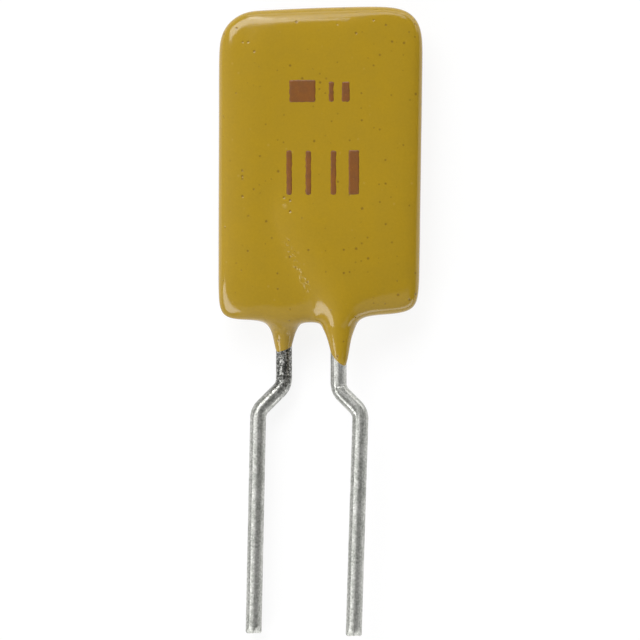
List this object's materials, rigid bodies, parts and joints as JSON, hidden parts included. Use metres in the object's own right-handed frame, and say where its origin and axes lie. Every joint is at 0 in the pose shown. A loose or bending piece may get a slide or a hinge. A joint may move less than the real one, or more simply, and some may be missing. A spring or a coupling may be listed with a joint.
{
  "type": "resettable fuse",
  "caption": "Radial-lead resettable fuse: a flat polymer element dipped in glossy mustard epoxy, with a slanting ridge over its soldered wire, on kinked tinned wires.",
  "frame": {"origin": "middle of the part's box on the plane it lies on, on its back", "axes": "+X to the side of the lead soldered in front, +Y from the lead tips to the top of the body, +Z out of the front face"},
  "size_m": [0.0103, 0.0316, 0.003],
  "materials": {
    "epoxy": "glossy, faintly pitted",
    "conductive_polymer": "matte",
    "nickel_foil": "matte metal",
    "tinned_wire": "satin, mottled tin",
    "solder": "satin"
  },
  "bodies": {
    "root": {"epoxy_coating": "epoxy", "ptc_element": "conductive_polymer", "front_electrode": "nickel_foil", "rear_electrode": "nickel_foil", "front_lead": "tinned_wire", "rear_lead": "tinned_wire", "front_solder": "solder", "rear_solder": "solder"}
  },
  "joints": []
}
